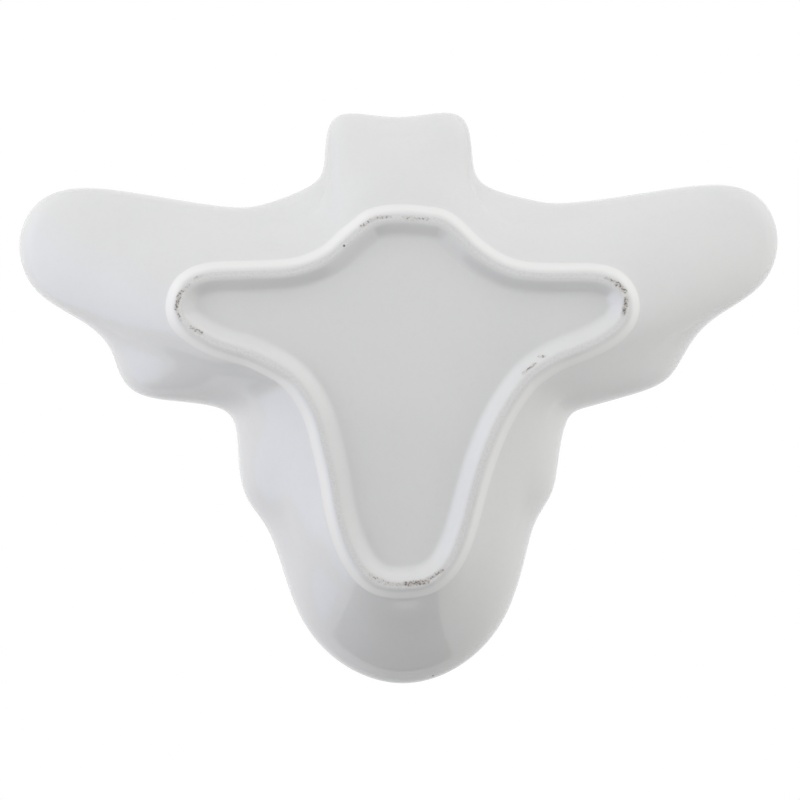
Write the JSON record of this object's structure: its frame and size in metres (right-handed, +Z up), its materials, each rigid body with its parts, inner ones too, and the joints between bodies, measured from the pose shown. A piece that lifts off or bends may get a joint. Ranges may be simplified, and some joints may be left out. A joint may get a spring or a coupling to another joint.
{
  "type": "trinket tray",
  "caption": "Shallow insect-shaped ceramic tray with a rounded lip, spread wings and a raised foot ring under its floor, for holding rings, keys and other small things.",
  "frame": {"origin": "on the table under the middle of the tray's outline, with the tray standing on its foot ring", "axes": "+X along the wingspan, +Y towards the head, +Z up out of the dish"},
  "size_m": [0.1404, 0.1055, 0.018],
  "materials": {
    "glaze": "glossy white glaze",
    "foot": "white glaze wiped thin on the crest, with grey scuffs"
  },
  "bodies": {
    "root": {"tray_shell": "glaze", "foot_ring": "foot"}
  },
  "joints": []
}
